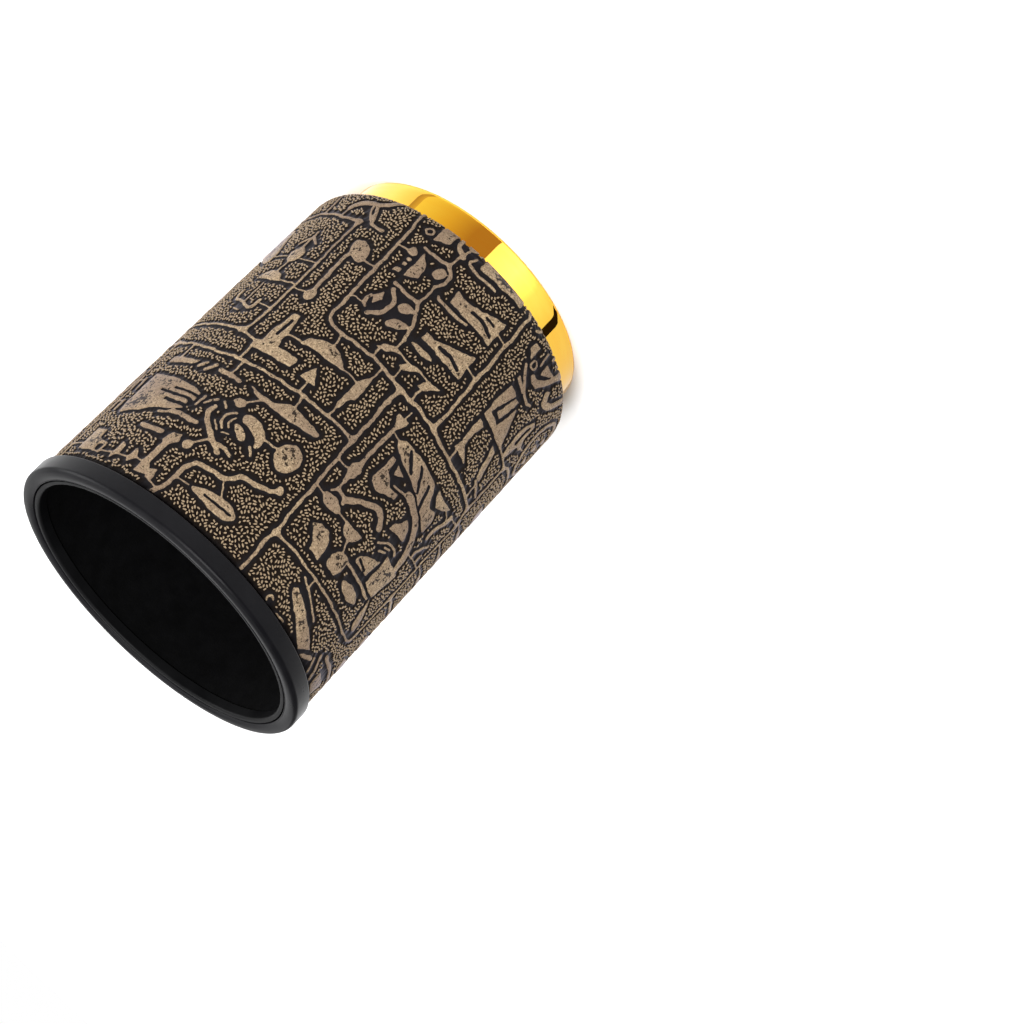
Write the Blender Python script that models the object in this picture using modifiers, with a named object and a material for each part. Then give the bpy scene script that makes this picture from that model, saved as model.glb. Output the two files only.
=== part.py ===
"""A leather-covered dice cup, standing on its gold foot with the mouth up.

Metres, +Z up the cup's axis, with the origin at the centre of the foot. Every piece is turned about the axis:
its half section lies at +X, and runs down the outer side and back up the inner side.
"""

import math

import bmesh
import bpy

# Driving dimensions.
RIM_RADIUS = 0.040
CUP_HEIGHT = 0.108
MOUTH_RADIUS = 0.0351
LEATHER_TOP_RADIUS = 0.0392
LEATHER_BASE_RADIUS = 0.0383
LEATHER_THICKNESS = 0.0012
SHOULDER_RADIUS = 0.0045
FOOT_RADIUS = 0.03375
FOOT_HEIGHT = 0.0073
FELT_THICKNESS = 0.0006
FLOOR_FELT_THICKNESS = 0.0012
FIT_GAP = 0.0003
TURN_STEPS = 80

# The rim ring, which presses over the cup's lip and covers the top edge of the leather.
RIM_UNDERSIDE = CUP_HEIGHT - 0.0050
RIM_ROUNDING = 0.0012
RIM_SMALL_ROUNDING = 0.0004
LIP_OUTER = MOUTH_RADIUS + 0.0012
RIM_INNER = LIP_OUTER + FIT_GAP

# The leather tapers from the rim down to its rounded shoulder, which turns in to meet the foot.
LEATHER_TOP = RIM_UNDERSIDE - FIT_GAP
SHOULDER_HEIGHT = FOOT_HEIGHT + SHOULDER_RADIUS

# The moulded inner cup, which follows the inside of the leather.
CUP_WALL = 0.0015
CUP_INSET = LEATHER_THICKNESS + FIT_GAP
CUP_CORNER = SHOULDER_RADIUS - CUP_INSET
CUP_UNDERSIDE = FOOT_HEIGHT + CUP_INSET
FLOOR_TOP = CUP_UNDERSIDE + 0.0022
LIP_TOP = CUP_HEIGHT - 0.0004
LIP_UNDERSIDE = CUP_HEIGHT - 0.0030
LIP_ROUNDING = 0.0006

# The gold foot, a shallow cap pressed over the spigot under the inner cup.
FOOT_INNER = FOOT_RADIUS - 0.0020
FOOT_TOP = CUP_UNDERSIDE - FIT_GAP
FOOT_ROUNDING = 0.0005
FOOT_RECESS_RADIUS = FOOT_RADIUS - 0.0030
FOOT_RECESS_DEPTH = 0.0016
FOOT_PLATE_TOP = FOOT_RECESS_DEPTH + 0.0015
FOOT_PAD_THICKNESS = 0.0008
SPIGOT_OUTER = FOOT_INNER - FIT_GAP
SPIGOT_INNER = SPIGOT_OUTER - 0.0018

# The seam where the two ends of the leather meet, on the +Y side.
SEAM_WIDTH = 0.0003


def clear_scene():
    for old in list(bpy.data.objects):
        bpy.data.objects.remove(old, do_unlink=True)


def new_collection(name):
    collection = bpy.data.collections.new(name)
    bpy.context.scene.collection.children.link(collection)
    return collection


def new_material(name, colour, roughness, metallic=0.0):
    material = bpy.data.materials.new(name)
    material.use_nodes = True
    shader = material.node_tree.nodes["Principled BSDF"]
    shader.inputs["Base Color"].default_value = (*colour, 1.0)
    shader.inputs["Roughness"].default_value = roughness
    shader.inputs["Metallic"].default_value = metallic
    material.diffuse_color = (*colour, 1.0)
    return material


def arc(r, z, radius, start, end, steps):
    """Points (r, z) on a round corner about its centre, from the angle start to end, in degrees from +r."""
    points = []
    for i in range(steps + 1):
        angle = math.radians(start + (end - start) * i / steps)
        points.append((r + radius * math.cos(angle), z + radius * math.sin(angle)))
    return points


def leather_radius(z):
    """The outer radius of the leather at a height between its shoulder and its top edge."""
    share = (z - SHOULDER_HEIGHT) / (LEATHER_TOP - SHOULDER_HEIGHT)
    return LEATHER_BASE_RADIUS + share * (LEATHER_TOP_RADIUS - LEATHER_BASE_RADIUS)


def cup_outer(z):
    return leather_radius(z) - CUP_INSET


def felt_outer(z):
    return cup_outer(z) - CUP_WALL - FIT_GAP


def turned(name, section, material, collection, touches_axis=False):
    """A solid of revolution. A section that touches the axis starts and ends on it; any other is a closed loop."""
    profile = bmesh.new()
    points = [profile.verts.new((r, 0.0, z)) for r, z in section]
    for first, second in zip(points, points[1:]):
        profile.edges.new((first, second))
    if not touches_axis:
        profile.edges.new((points[-1], points[0]))
    mesh = bpy.data.meshes.new(name)
    profile.to_mesh(mesh)
    profile.free()
    mesh.materials.append(material)
    solid = bpy.data.objects.new(name, mesh)
    collection.objects.link(solid)
    screw = solid.modifiers.new("turn", "SCREW")
    screw.axis = "Z"
    screw.angle = math.tau
    screw.steps = TURN_STEPS
    screw.render_steps = TURN_STEPS
    screw.use_merge_vertices = True
    screw.merge_threshold = 0.00001
    screw.use_smooth_shade = True
    return solid


def make_inner_cup(collection):
    """The black moulded cup: wall, floor, a lip that covers the felt's edge, and a spigot for the foot."""
    corner_r = LEATHER_BASE_RADIUS - SHOULDER_RADIUS
    spigot_end = FOOT_PLATE_TOP + FIT_GAP
    section = [(0.0, FLOOR_TOP), (cup_outer(FLOOR_TOP) - CUP_WALL, FLOOR_TOP)]
    section += [(cup_outer(LIP_UNDERSIDE) - CUP_WALL, LIP_UNDERSIDE), (MOUTH_RADIUS, LIP_UNDERSIDE)]
    section += arc(MOUTH_RADIUS + LIP_ROUNDING, LIP_TOP - LIP_ROUNDING, LIP_ROUNDING, 180, 90, 3)
    section += [(LIP_OUTER, LIP_TOP), (LIP_OUTER, LEATHER_TOP), (cup_outer(LEATHER_TOP), LEATHER_TOP)]
    section += arc(corner_r, SHOULDER_HEIGHT, CUP_CORNER, 0, -90, 6)
    section += [(SPIGOT_OUTER, CUP_UNDERSIDE), (SPIGOT_OUTER, spigot_end)]
    section += [(SPIGOT_INNER, spigot_end), (SPIGOT_INNER, CUP_UNDERSIDE), (0.0, CUP_UNDERSIDE)]
    material = new_material("black_moulding", (0.018, 0.018, 0.019), 0.42)
    return turned("inner_cup", section, material, collection, touches_axis=True)


def make_mouth_rim(collection):
    """The satin black ring round the mouth, whose flat underside covers the leather's cut edge."""
    small = RIM_SMALL_ROUNDING
    section = arc(RIM_INNER + small, CUP_HEIGHT - small, small, 180, 90, 3)
    section += arc(RIM_RADIUS - RIM_ROUNDING, CUP_HEIGHT - RIM_ROUNDING, RIM_ROUNDING, 90, 0, 6)
    section += arc(RIM_RADIUS - small, RIM_UNDERSIDE + small, small, 0, -90, 3)
    section += [(RIM_INNER, RIM_UNDERSIDE)]
    material = new_material("black_rim", (0.03, 0.03, 0.031), 0.35)
    return turned("mouth_rim", section, material, collection)


def make_leather_wrap(collection, cutters):
    """The embossed leather sheet, glued round the cup and turned over the shoulder, with a butt seam."""
    corner_r = LEATHER_BASE_RADIUS - SHOULDER_RADIUS
    end_r = FOOT_RADIUS + FIT_GAP
    turn = 90 - math.degrees(math.asin((end_r - corner_r) / SHOULDER_RADIUS))
    section = [(LEATHER_TOP_RADIUS - LEATHER_THICKNESS, LEATHER_TOP), (LEATHER_TOP_RADIUS, LEATHER_TOP)]
    section += arc(corner_r, SHOULDER_HEIGHT, SHOULDER_RADIUS, 0, -turn, 8)
    section += arc(corner_r, SHOULDER_HEIGHT, SHOULDER_RADIUS - LEATHER_THICKNESS, -turn, 0, 8)
    material = new_material("embossed_leather", (0.10, 0.075, 0.05), 0.5)
    wrap = turned("leather_wrap", section, material, collection)
    cut = wrap.modifiers.new("seam", "BOOLEAN")
    cut.operation = "DIFFERENCE"
    cut.object = make_seam_cutter(cutters)
    return wrap


def make_seam_cutter(cutters):
    """A thin upright blade through the +Y side of the leather."""
    blade = bmesh.new()
    bmesh.ops.create_cube(blade, size=1.0)
    bmesh.ops.scale(blade, vec=(SEAM_WIDTH, RIM_RADIUS, CUP_HEIGHT * 2), verts=blade.verts)
    mesh = bpy.data.meshes.new("seam_cutter")
    blade.to_mesh(mesh)
    blade.free()
    cutter = bpy.data.objects.new("seam_cutter", mesh)
    cutter.location = (0.0, RIM_RADIUS, CUP_HEIGHT / 2)
    cutter.hide_render = True
    cutter.display_type = "WIRE"
    cutters.objects.link(cutter)
    return cutter


def make_wall_felt(collection):
    """The felt sleeve that lines the wall, under the lip and down to the floor."""
    top = LIP_UNDERSIDE - FIT_GAP
    bottom = FLOOR_TOP + FIT_GAP
    section = [(felt_outer(top) - FELT_THICKNESS, top), (felt_outer(top), top)]
    section += [(felt_outer(bottom), bottom), (felt_outer(bottom) - FELT_THICKNESS, bottom)]
    material = new_material("wall_felt_black", (0.008, 0.008, 0.009), 0.95)
    return turned("wall_felt", section, material, collection)


def make_floor_felt(collection):
    """The felt disc on the floor, where the dice land."""
    bottom = FLOOR_TOP + FIT_GAP
    top = bottom + FLOOR_FELT_THICKNESS
    radius = felt_outer(bottom) - FELT_THICKNESS - FIT_GAP
    section = [(0.0, top), (radius, top), (radius, bottom), (0.0, bottom)]
    material = new_material("floor_felt_black", (0.008, 0.008, 0.009), 0.95)
    return turned("floor_felt", section, material, collection, touches_axis=True)


def make_base_cap(collection):
    """The gold-plated foot: a shallow cap whose wall shows as a plain ring, recessed underneath for the pad."""
    round_off = FOOT_ROUNDING
    section = [(0.0, FOOT_PLATE_TOP), (FOOT_INNER, FOOT_PLATE_TOP)]
    section += [(FOOT_INNER, FOOT_TOP), (FOOT_RADIUS, FOOT_TOP)]
    section += arc(FOOT_RADIUS - round_off, round_off, round_off, 0, -90, 4)
    section += arc(FOOT_RECESS_RADIUS + round_off, round_off, round_off, -90, -180, 4)
    section += [(FOOT_RECESS_RADIUS, FOOT_RECESS_DEPTH), (0.0, FOOT_RECESS_DEPTH)]
    material = new_material("gold_plating", (0.95, 0.62, 0.12), 0.08, metallic=1.0)
    return turned("base_cap", section, material, collection, touches_axis=True)


def make_foot_pad(collection):
    """The black pad glued in the recess, set back from the gold edge that the cup stands on."""
    radius = FOOT_RECESS_RADIUS - FIT_GAP
    top = FOOT_RECESS_DEPTH - FIT_GAP
    bottom = top - FOOT_PAD_THICKNESS
    section = [(0.0, top), (radius, top), (radius, bottom), (0.0, bottom)]
    material = new_material("foot_pad_black", (0.02, 0.02, 0.02), 0.8)
    return turned("foot_pad", section, material, collection, touches_axis=True)


def build_dice_cup():
    clear_scene()
    parts = new_collection("leather_dice_cup")
    cutters = new_collection("cutters")
    pieces = [
        make_inner_cup(parts),
        make_mouth_rim(parts),
        make_leather_wrap(parts, cutters),
        make_wall_felt(parts),
        make_floor_felt(parts),
        make_base_cap(parts),
        make_foot_pad(parts),
    ]
    cup = bpy.data.objects.new("dice_cup", None)
    parts.objects.link(cup)
    for piece in pieces:
        piece.parent = cup


build_dice_cup()
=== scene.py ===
"""A leather-covered dice cup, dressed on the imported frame: embossed leather, black moulding, felt and a gold foot."""
import math

import bmesh
import bpy
import numpy as np
from mathutils import Matrix, Vector, kdtree
from mathutils.geometry import delaunay_2d_cdt


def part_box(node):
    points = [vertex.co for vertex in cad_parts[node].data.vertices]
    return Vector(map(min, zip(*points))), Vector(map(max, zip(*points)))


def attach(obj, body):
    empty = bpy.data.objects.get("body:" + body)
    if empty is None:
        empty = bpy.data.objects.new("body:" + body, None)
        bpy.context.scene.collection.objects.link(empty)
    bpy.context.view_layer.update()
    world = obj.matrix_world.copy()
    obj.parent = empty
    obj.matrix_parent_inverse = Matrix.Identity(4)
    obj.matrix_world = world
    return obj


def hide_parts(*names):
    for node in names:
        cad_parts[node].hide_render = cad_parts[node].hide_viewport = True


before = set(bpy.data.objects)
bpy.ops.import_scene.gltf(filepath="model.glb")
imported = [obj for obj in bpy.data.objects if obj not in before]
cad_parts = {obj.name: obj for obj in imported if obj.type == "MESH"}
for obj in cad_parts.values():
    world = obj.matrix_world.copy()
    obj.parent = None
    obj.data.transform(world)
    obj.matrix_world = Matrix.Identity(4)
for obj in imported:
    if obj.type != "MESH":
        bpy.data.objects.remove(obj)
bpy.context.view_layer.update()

MM = 0.001
RNG = np.random.default_rng(11)

# ---- Places, in millimetres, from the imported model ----


def node_box(name):
    """(radius, lowest z, highest z) of a turned CAD node, in millimetres."""
    low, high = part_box(name)
    return high[0] / MM, low[2] / MM, high[2] / MM


LEATHER_TOP_RADIUS, LEATHER_FOOT_Z, LEATHER_TOP_Z = node_box("leather_wrap")
RIM_RADIUS, RIM_LOW, RIM_HIGH = node_box("mouth_rim")
FOOT_RADIUS, _, FOOT_TOP = node_box("base_cap")
_, FELT_LOW, FELT_HIGH = node_box("wall_felt")
FLOOR_FELT_RADIUS, FLOOR_FELT_LOW, FLOOR_FELT_HIGH = node_box("floor_felt")
PAD_RADIUS, PAD_LOW, PAD_HIGH = node_box("foot_pad")
_, CUP_LOW, CUP_HIGH = node_box("inner_cup")
GAP = 0.3                    # the play left between pieces that touch
CUP_WALL = 1.5
LIP_WIDTH = 1.2
FOOT_WALL = 2.0
LEATHER_BASE_RADIUS = 38.3
LEATHER_THICKNESS = 1.2
SHOULDER_RADIUS = 4.5
SHOULDER_Z = LEATHER_FOOT_Z + SHOULDER_RADIUS
MOUTH_RADIUS = 35.1

# ---- The embossed sheet, unrolled: u runs round the cup from the front, v runs up it, in millimetres ----

SHEET_RADIUS = 38.8
AROUND = 2 * math.pi * SHEET_RADIUS
PERIOD = AROUND / 2          # the roller that embossed the sheet went round it twice
COLUMNS = 812                # cells of the distance grid along one period
CELL = PERIOD / COLUMNS
SHOULDER_TURN = math.acos((FOOT_RADIUS + GAP - LEATHER_BASE_RADIUS + SHOULDER_RADIUS) / SHOULDER_RADIUS)
V_LOW = SHOULDER_Z - SHOULDER_RADIUS * SHOULDER_TURN
V_HIGH = LEATHER_TOP_Z
ROWS = int((V_HIGH - V_LOW) / CELL) + 3
SEAM = 0.3
MOAT = 1.0                   # the smooth margin round every raised shape
RELIEF_DEPTH = 0.38
# The lines that shape a raised edge: (distance from the outline, height there, spacing of the line's points).
EDGE_LINES = ((0.04, 0.0, 0.36), (-0.1, 0.82, 0.34), (-0.26, 1.0, 0.4))
BORDER_U, BORDER_V = 440, 170    # points along the sheet's border
SWELL_CELL = 0.24                # grid of the sheet's slight swell
GRAIN_ALONG, GRAIN_ACROSS = 1.02, 0.56   # the least distance between grains along and across their lean
GRAIN_FOOT, GRAIN_TOP = 7, 5             # corners of a grain's foot and of its top
GRAIN_HEIGHT = 0.86

# Raised bands: their width, then u and v of each point along them.
RIDGES = [
    (0.9, -6.8, 104, -7.3, 98, -6.8, 94, -7.1, 90.5, -6.4, 85, -6.3, 80, -6, 74, -5.4, 70, -5.3, 60, -4.9, 53,
     -5, 47),
    (0.7, -45.2, 50, -45, 60, -45.2, 70, -45.1, 87, -44.2, 89, -42, 89.7, -30, 90, -7, 90.5),
    (0.8, -45.2, 50.5, -43.2, 46.6, -43, 33.5, -44.5, 31.4, -50, 30.4, -61, 30.8),
    (0.8, -5, 63, 2, 63.1, 8, 63.5, 22, 64.2, 36, 64.6, 45, 64, 51.5, 63.2, 61, 63),
    (0.9, -43.4, 46.3, -30, 46.7, -20, 47, -17, 46.3, -10, 46.4, -5.3, 46.7, 0, 45.9, 8, 46, 14, 46.1, 17, 45.6,
     18.3, 43.6, 18.3, 36, 18.7, 28, 19, 20, 19.6, 12, 20.6, 8, 21, 3),
    (1.0, -16.9, 46.3, -16.6, 40, -16.2, 32, -16, 25, -15.6, 18, -15.2, 10, -15, 3),
    (0.7, 27.5, 58.4, 31, 57.5, 36, 57, 42, 57.5, 52, 57, 61, 56.5),
    (0.7, 33.2, 57.3, 31.6, 55.6, 31.3, 50, 31.3, 40, 31.6, 30, 31.8, 18.4),
    (0.8, 31, 18.5, 34, 18.1, 40, 17.8, 46, 17.3, 52, 17.6, 61, 17),
    (0.9, 50.4, 104, 50.6, 90, 50.5, 78, 51.5, 63),
    (0.6, -42.8, 32.7, -38, 32.8, -35, 32.7),
    (1.0, -61, 73.2, -53, 73.4, -45.3, 73.8),
    (1.2, 18.4, 104, 17.9, 100.9, 16.9, 99.3, 16.6, 96, 16.7, 92.9, 15.7, 91.1, 13, 90.4, 9, 90, 7.5, 88.8, 5.6, 86.7,
     2, 86.2, 0, 85.5, -1.3, 83.8),
]
STRIPS = [
    # upper middle: round the leaf and the disc
    (0.5, 6.4, 93.8, 7.1, 92.2, 8.4, 90.1), (0.45, 13.2, 96.1, 16.6, 96.1), (0.5, 5, 77.2, 8.3, 77.4),
    (0.6, 17.6, 85.2, 20.2, 88.6), (0.55, 17.6, 73, 14.8, 70.3),
    (1.3, 13.6, 86.3, 16, 85.3, 18.1, 83.9, 20.6, 81.5, 22.6, 79.4, 22, 77.6),
    (0.9, 11.2, 85.2, 13.4, 84.5, 15.8, 85), (0.6, 17.8, 82, 19.5, 80.2),
    (0.7, 17.2, 80.8, 18.5, 79.4, 18.4, 77.5, 17, 76), (0.6, 16, 80, 16.9, 78.8, 16.3, 77), (0.8, 8, 82.2, 9.7, 80.6),
    (0.7, 19.9, 76.6, 21.3, 75.2), (0.6, 23, 75.6, 24.6, 77.1), (0.5, 18, 100.6, 22, 100.2),
    (0.5, 14.9, 81.4, 16.5, 82),
    # upper right
    (1.2, 22.8, 83, 29.8, 83.2), (0.8, 29.4, 83.2, 32.6, 85), (1.3, 27.4, 88.9, 33.2, 89.2),
    (0.5, 25, 97.3, 27.3, 97.3), (0.45, 28.8, 98.2, 37.6, 99.1), (0.5, 45, 98, 50.4, 98),
    (0.7, 26.1, 79.4, 26.3, 76.3), (0.7, 24.9, 77.9, 23, 75.3), (0.9, 47.2, 86.4, 47.4, 83.6),
    (0.45, 47.3, 83.4, 50.5, 83.3), (0.9, 47.4, 79.6, 47.6, 76.2), (0.45, 47.6, 76.6, 50.5, 76.4),
    (1.1, 22.2, 69.2, 28.6, 69.1), (0.9, 30.3, 68.5, 32, 70.3), (0.9, 32.9, 68.5, 34.5, 70.3),
    (0.55, 25.3, 68.7, 25.3, 64.2), (0.6, 42.3, 68.8, 42.3, 64.3),
    # upper left
    (0.6, -22.4, 101.8, -19, 102.7, -16.4, 102.5, -15.3, 101.4, -16, 100.4, -17, 100.8),
    (0.6, -28.6, 95.6, -22, 93.2, -19, 92.1), (0.5, -21.2, 92.8, -21.2, 90.3),
    (0.9, -42.4, 103, -41.4, 99.4, -38.8, 97.3), (0.7, -39.8, 103, -39, 100.6, -37.4, 99.2),
    (1.2, -36.4, 100.2, -34.2, 101.4, -31.8, 103), (1.1, -61, 95.4, -50, 95.2, -41.4, 95.7),
    (0.8, -36.6, 81, -30, 81.3, -22, 81.8), (0.5, -20.4, 78.8, -21.6, 81.6), (0.45, -16.8, 76.4, -13.6, 76.5),
    (0.45, -9, 76.5, -6.2, 76.4), (1.5, -24.2, 71, -20.8, 67.6, -16, 71.2, -13.1, 73.6),
    (0.9, -13.3, 74.4, -12.8, 73.4, -10.4, 73.4), (0.6, -10.6, 73.3, -9.3, 74.6), (0.6, -10.3, 73.3, -10.2, 70),
    (0.7, -33.4, 70, -31.4, 69.6, -28.8, 70.4, -26.6, 72.6), (0.6, -30.6, 72.2, -28.4, 73.4),
    (0.6, -31, 70.9, -29.2, 71.8), (2.0, -37.4, 71, -36, 66.4, -33, 63, -29, 61.2, -24, 60.3),
    # middle
    (0.6, 8.8, 67, 9.3, 63.4), (0.5, 10.6, 63.3, 11, 59.6), (0.5, 2.2, 63, 2.3, 59.8), (0.5, 1, 49.4, 1.2, 46),
    (0.5, 2.8, 52.9, 7.4, 52.8), (0.5, 17.8, 53.1, 22.8, 53.4), (0.6, 12.3, 49.9, 12.9, 46),
    (1.0, -10.2, 71, -10.1, 60, -10.1, 52), (0.4, -10.5, 51, -10.5, 48.2), (0.45, -8.9, 68.2, -5.6, 68.5),
    (0.4, -13, 54.8, -10.2, 54.7), (0.6, -23.4, 60.9, -19.4, 62), (0.6, 27, 64.2, 27.2, 59.8),
    (0.9, 36.3, 48, 36.2, 51.2, 40, 50, 42, 48.9, 44.5, 48.6, 45.6, 47, 45.3, 45.4), (0.6, 40, 51.9, 42.3, 51.6),
    (0.4, 31.4, 49, 36, 48.8), (0.5, 40.8, 49.2, 41, 42.4), (0.5, 31.5, 40.7, 37.6, 40.7),
    (0.4, 27.4, 41.6, 31.3, 41.6), (0.45, -45, 64.8, -42, 65, -39, 65.9, -36.2, 66.8), (0.7, -41.6, 65, -41.9, 62.8),
    (0.8, -38.6, 65.6, -38.4, 64, -41.2, 60.2), (0.45, -45, 50.3, -41, 51.6), (0.4, -39.4, 53.5, -36.4, 53),
    (1.2, -38.3, 60.2, -38.2, 57.6, -39.8, 54.2, -40.4, 51.8), (1.5, -61, 63.4, -51, 63.3),
    (0.5, -51, 63.4, -45, 63.6), (1.4, -60, 56, -51, 56.2), (0.5, -51, 56.3, -45.2, 56.5),
    (1.4, -61, 48.4, -50, 48.9), (0.5, -50, 49, -44.6, 49.3),
    # lower middle
    (0.5, -8.4, 46.3, -8.2, 42.6), (0.5, -1.9, 46, -1.8, 42.6), (0.5, 4.7, 45.8, 4.8, 42.8),
    (0.5, -8.6, 40.5, 1, 40.5), (0.5, 1.9, 40.4, 1.9, 37.2), (0.9, 1.9, 37.4, 2.6, 34.2, 4.2, 31, 5.6, 28.2),
    (1.0, 5.7, 28.4, 9, 28.7, 12.6, 28.2), (0.6, 5.6, 28, 5.2, 25, 5.6, 22.8), (0.45, -16, 30.5, -12.9, 30.6),
    (1.2, 12.5, 38.2, 10.3, 36, 9.5, 33.6, 9.9, 31.5, 11.9, 29.8), (0.9, 14, 36.9, 14.9, 36.2, 14.7, 34),
    (0.45, 15, 36.5, 18.4, 36.8), (0.45, -15.6, 19.5, -12.2, 19.5), (0.8, -5.4, 24, -3, 24.5, 2.8, 24.5, 3.5, 23.8),
    (0.8, 6.6, 16.1, 10, 16.6, 13.8, 16.3), (0.6, 6.5, 16, 6.1, 12.8),
    (0.9, 5.6, 22.8, 4.2, 20.6, 4.6, 18, 6.6, 16.1), (0.45, 15.8, 19.3, 19, 19.4),
    (0.8, -4.6, 12.6, -2, 13, 3, 13.2, 4, 12.4, 2.9, 10.4), (1.2, 5.5, 12.6, 7.2, 11.6, 8.4, 10.4, 8.8, 6),
    (0.6, 5.2, 9, 5.8, 12.4), (1.0, 26.3, 40, 26.4, 37, 26.8, 33, 26.8, 29, 26.2, 27.2, 24.9, 26.6),
    (0.5, 19, 27.4, 22.2, 27.5), (0.5, 40, 34.8, 40.2, 38.4), (0.4, 31.7, 33.4, 37.4, 33.4),
    (0.4, 42.6, 33.2, 48, 33), (0.8, 40, 30, 40.2, 24), (0.8, 40.1, 26, 42.8, 28.6), (0.8, 40.1, 25.6, 37.4, 28.2),
    (0.9, 24.6, 18.3, 28.2, 18.3, 29.2, 16.6, 30.8, 13), (0.6, 29.6, 17, 32, 14.2, 31.9, 12.4),
    (1.5, 26.6, 5, 27.4, 9.6, 29.6, 11.9, 34, 12.3, 36.9, 13.2, 38.1, 14.9), (0.5, 38.2, 17.6, 38.2, 14.6),
    (0.8, 45.2, 17, 45.8, 15, 45.8, 11.4, 47.2, 9),
    # lower left
    (0.5, -38.4, 46.2, -38.3, 42.8), (0.8, -42, 43.2, -37, 42.6), (0.6, -25, 46.4, -25, 43.4),
    (0.6, -41.4, 27.1, -43.9, 25.8), (1.8, -43.6, 7.5, -37.4, 17.9, -34.7, 15.2),
    (1.7, -35.6, 7, -31.6, 13.6, -29, 17.6, -26.8, 17.2), (0.8, -32.8, 21, -30, 22.1, -24.6, 19.1, -22.7, 17.6),
    (1.0, -27.8, 21.7, -24.2, 20.7), (0.7, -26.2, 13.8, -25.8, 10.6), (0.9, -30.6, 5, -28.2, 10),
    (0.8, -20.6, 5, -20.8, 8.6, -18.6, 10.2),
]
# Raised plates: u and v of each corner. The corners of the first get rounded.
SOFT_PLATES = [
    (0.2, 95.5, 2.2, 97.3, 5.6, 97.9, 9.4, 97.2, 13.4, 96.1, 9.4, 94.3, 5.6, 93.4, 2.2, 93.9),
    (2.6, 34.4, 4.6, 36.9, 8.3, 38, 7.6, 35.3, 5.4, 34),
    (4.3, 31.2, 6.6, 33.2, 9, 32.6, 8.2, 30.6, 6, 30),
    (-6.4, 36.3, -2.6, 37.6, 1.4, 36.5, -2.4, 35.7),
    (5, 18.8, 6.4, 21.6, 8.3, 20.8, 8.1, 18.6, 6.6, 17.4),
    (3.4, 6, 4.4, 9.4, 6.2, 9.4, 6.6, 6.6, 5, 4.4),
    (8, 80.3, 8.9, 80.3, 9.9, 78.5, 11.6, 77.6, 14.2, 77.4, 15.4, 76.2, 15.2, 74.8, 13.4, 74.3, 11, 74.9, 9, 76.3,
     8, 78),
    (11.2, 80.4, 12.5, 81.4, 13.8, 80.4, 15.7, 78.5, 15, 78, 12.8, 78.4, 12, 79),
    (0, 67.5, 1.8, 69.6, 8, 70.2, 14.8, 70.6, 17.4, 69.9, 20.2, 68.2, 16, 69.2, 12.6, 69.2, 10.6, 67.4, 9.2, 66.8,
     4.5, 67.4),
    (-24.6, 86.2, -20.4, 86.6, -19.5, 84, -20.2, 81.4, -24, 80.8, -25, 83),
    (-35, 84.4, -32.4, 86.4, -28.6, 86.2, -26.4, 84.6, -29.4, 83.2, -32.8, 83.1),
    (-43, 87.2, -41, 87.2, -39.4, 86, -38.4, 83.8, -38.2, 81.8, -37, 80, -39, 81.4, -41, 83.4),
    (1.7, 60.2, 2.9, 60.2, 3.1, 55, 3, 52.4, 2.2, 50.8, 0.9, 48.6, 0.5, 52, 0.2, 56, 1.5, 56.8, 1.8, 58),
    (-35.2, 61.4, -34, 60.9, -30, 60, -24, 58.6, -17, 57.2, -14.2, 56.4, -12.4, 54.8, -14.4, 53.1, -20, 52.7,
     -27, 52.8, -29, 55.2, -31, 57, -33.8, 55.4, -35.2, 57.6),
    (48, 35.2, 51, 35, 56, 32, 61, 30, 62, 24, 57, 21.6, 51.8, 22.4, 51, 26, 49.4, 29, 47.6, 32),
    (21.8, 28.6, 24.4, 28.8, 27.4, 26.6, 28.2, 23.4, 25.4, 22.2, 22.6, 24.6),
    (-59, 84.5, -53, 84, -52, 82, -55, 80.2, -60, 80.6),
    (-59, 43.6, -51, 43, -50, 40.2, -56, 38.6, -60, 40),
    (54, 98.4, 59, 99.4, 60, 94.4, 55, 92.2, 53.2, 94.6),
    (54.4, 51.6, 59.6, 52, 60.2, 42, 57.4, 38.8, 54.6, 43),
]
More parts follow.
